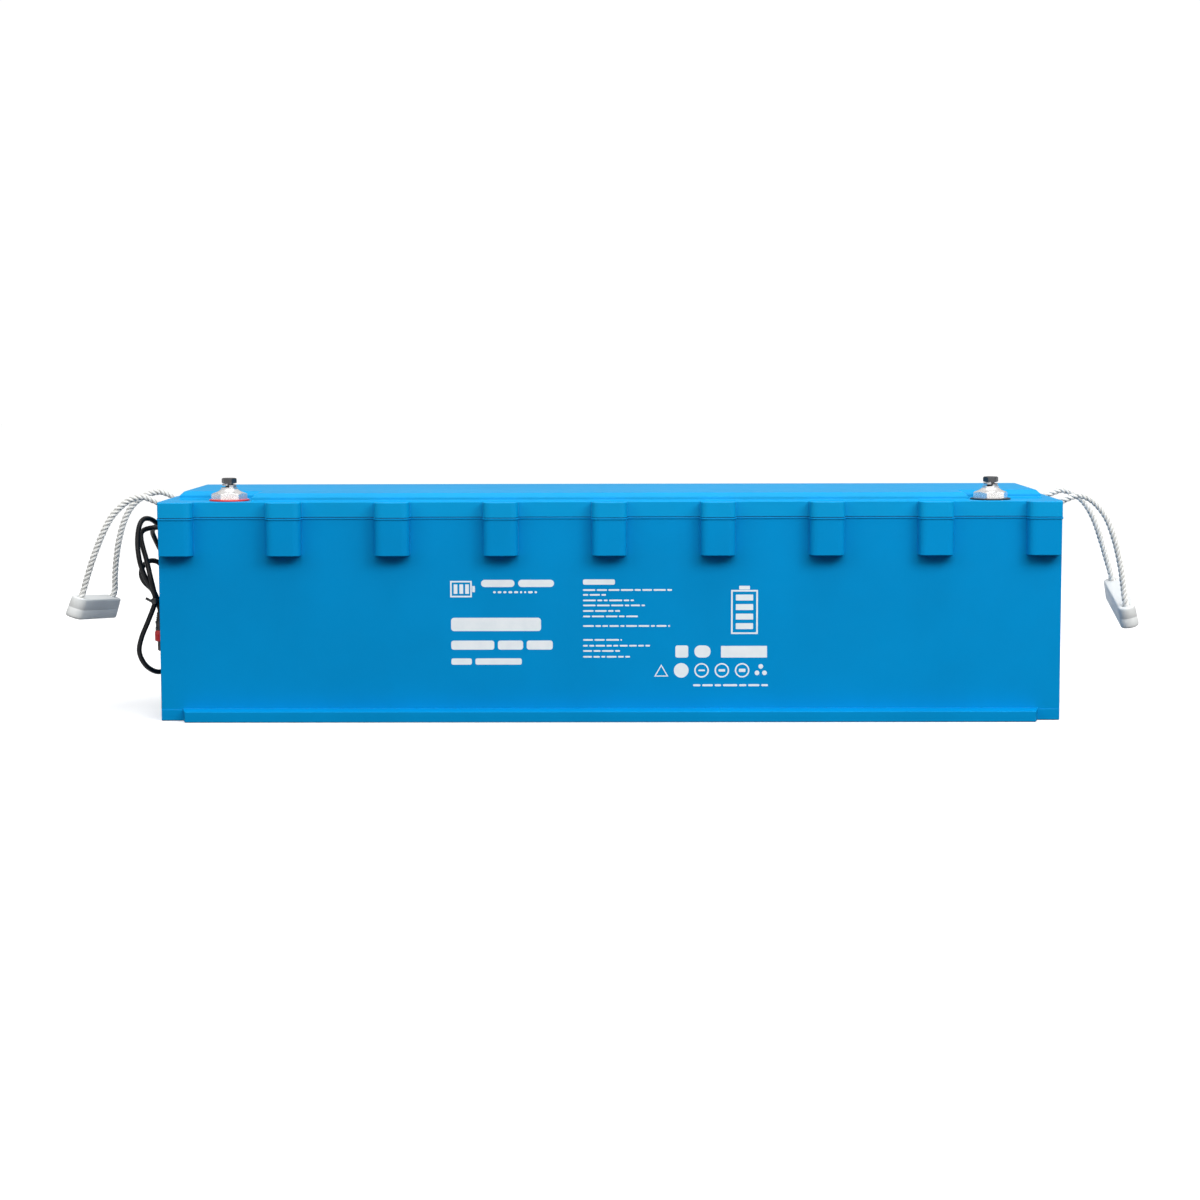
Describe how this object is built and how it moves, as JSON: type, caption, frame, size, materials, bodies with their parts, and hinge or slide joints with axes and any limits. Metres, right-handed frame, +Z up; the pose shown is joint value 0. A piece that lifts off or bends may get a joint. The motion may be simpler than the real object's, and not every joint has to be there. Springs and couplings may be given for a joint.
{
  "type": "prismatic cell battery pack",
  "caption": "Long ribbed battery case holding a row of prismatic cells, with two raised bolt terminals, rope carry handles and data cables.",
  "frame": {"origin": "middle of the base, on the surface the pack stands on", "axes": "+X along the long side towards the black-washer terminal, +Y from the terminal side to the back, +Z up"},
  "size_m": [1.0655, 0.2144, 0.2357],
  "materials": {
    "case": "satin moulded blue plastic",
    "lid": "satin moulded blue plastic, a shade lighter",
    "seal": "dark adhesive sealing bead",
    "pad": "dark foam rubber",
    "cell_can": "aluminium can in a blue insulating film",
    "electrode": "wound electrode foils, dark grey",
    "cell_cap": "bare aluminium",
    "cell_stud": "machined aluminium",
    "vent_foil": "thin bright foil",
    "spacer": "cream insulating sheet",
    "end_plate": "ribbed aluminium plate",
    "band": "steel strap",
    "carrier": "off-white moulded tray",
    "busbar": "copper bar",
    "board": "green circuit board",
    "board_parts": "black electronic parts",
    "screw": "plated steel",
    "sense_wire": "red insulated wire",
    "terminal": "tin-plated brass, bright",
    "insulator_red": "red plastic washer",
    "insulator_black": "black plastic washer",
    "terminal_nut": "brass",
    "bolt": "dark blackened steel",
    "spring_washer": "plated spring steel",
    "flat_washer": "plated steel",
    "rope": "white three-strand twisted rope",
    "grip": "pale grey moulded bar",
    "gland": "black nylon",
    "cable": "black cable sheath",
    "plug": "black over-moulded plug",
    "ring_black": "black knurled ring",
    "ring_red": "red knurled ring",
    "tie": "black nylon tie"
  },
  "bodies": {
    "pack": {"case_body": "case", "lid": "lid", "lid_seal": "seal", "base_pad": "pad", "cell_01": "cell_can", "cell_02": "cell_can", "cell_03": "cell_can", "cell_04": "cell_can", "cell_05": "cell_can", "cell_06": "cell_can", "cell_07": "cell_can", "cell_08": "cell_can", "cell_09": "cell_can", "cell_10": "cell_can", "cell_11": "cell_can", "cell_12": "cell_can", "cell_13": "cell_can", "cell_14": "cell_can", "cell_15": "cell_can", "cell_16": "cell_can", "electrode_rolls": "electrode", "cell_caps": "cell_cap", "cell_terminals": "cell_stud", "cell_vents": "vent_foil", "cell_spacers": "spacer", "end_plate_left": "end_plate", "end_plate_right": "end_plate", "compression_bands": "band", "busbar_carrier": "carrier", "series_busbars": "busbar", "positive_busbar": "busbar", "negative_busbar": "busbar", "balancer_board": "board", "board_parts": "board_parts", "board_screws": "screw", "sense_harness": "sense_wire", "terminal_left": "terminal", "terminal_right": "terminal", "insulator_left": "insulator_red", "insulator_right": "insulator_black", "terminal_nuts": "terminal_nut", "rope_knots": "rope", "cable_glands": "gland", "data_cable_a": "cable", "data_cable_b": "cable", "plug_a": "plug", "plug_b": "plug", "cable_tie": "tie"},
    "washers_left": {"spring_washer_left": "spring_washer", "flat_washer_left": "flat_washer"},
    "bolt_left": {"bolt_left": "bolt"},
    "washers_right": {"spring_washer_right": "spring_washer", "flat_washer_right": "flat_washer"},
    "bolt_right": {"bolt_right": "bolt"},
    "handle_left": {"rope_left": "rope", "grip_left": "grip"},
    "handle_right": {"rope_right": "rope", "grip_right": "grip"},
    "ring_a": {"plug_ring_a": "ring_black"},
    "ring_b": {"plug_ring_b": "ring_red"}
  },
  "joints": [
    {"name": "bolt_left_rise", "type": "slide", "parent": "pack", "child": "washers_left", "axis": [0, 0, 1], "range_m": [0, 0.0126]},
    {"name": "bolt_left_turn", "type": "hinge", "parent": "washers_left", "child": "bolt_left", "pos_m": [-0.371, -0.07, 0.225], "axis": [0, 0, 1], "range_deg": [0, 3600]},
    {"name": "bolt_right_rise", "type": "slide", "parent": "pack", "child": "washers_right", "axis": [0, 0, 1], "range_m": [0, 0.0126]},
    {"name": "bolt_right_turn", "type": "hinge", "parent": "washers_right", "child": "bolt_right", "pos_m": [0.371, -0.07, 0.225], "axis": [0, 0, 1], "range_deg": [0, 3600]},
    {"name": "handle_left_swing", "type": "hinge", "parent": "pack", "child": "handle_left", "pos_m": [-0.463, 0, 0.216], "axis": [0, 1, 0], "range_deg": [0, 120]},
    {"name": "handle_right_swing", "type": "hinge", "parent": "pack", "child": "handle_right", "pos_m": [0.463, 0, 0.216], "axis": [0, -1, 0], "range_deg": [0, 120]},
    {"name": "plug_ring_a_turn", "type": "hinge", "parent": "pack", "child": "ring_a", "pos_m": [-0.4437, -0.0434, 0.069], "axis": [0, 0, 1], "continuous": true},
    {"name": "plug_ring_b_turn", "type": "hinge", "parent": "pack", "child": "ring_b", "pos_m": [-0.4439, -0.056, 0.08], "axis": [0, 0, 1], "continuous": true}
  ],
  "couplings": [
    {"joint": "bolt_left_rise", "follows": "bolt_left_turn", "m_per_rad": 0.00019894},
    {"joint": "bolt_right_rise", "follows": "bolt_right_turn", "m_per_rad": 0.00019894}
  ]
}
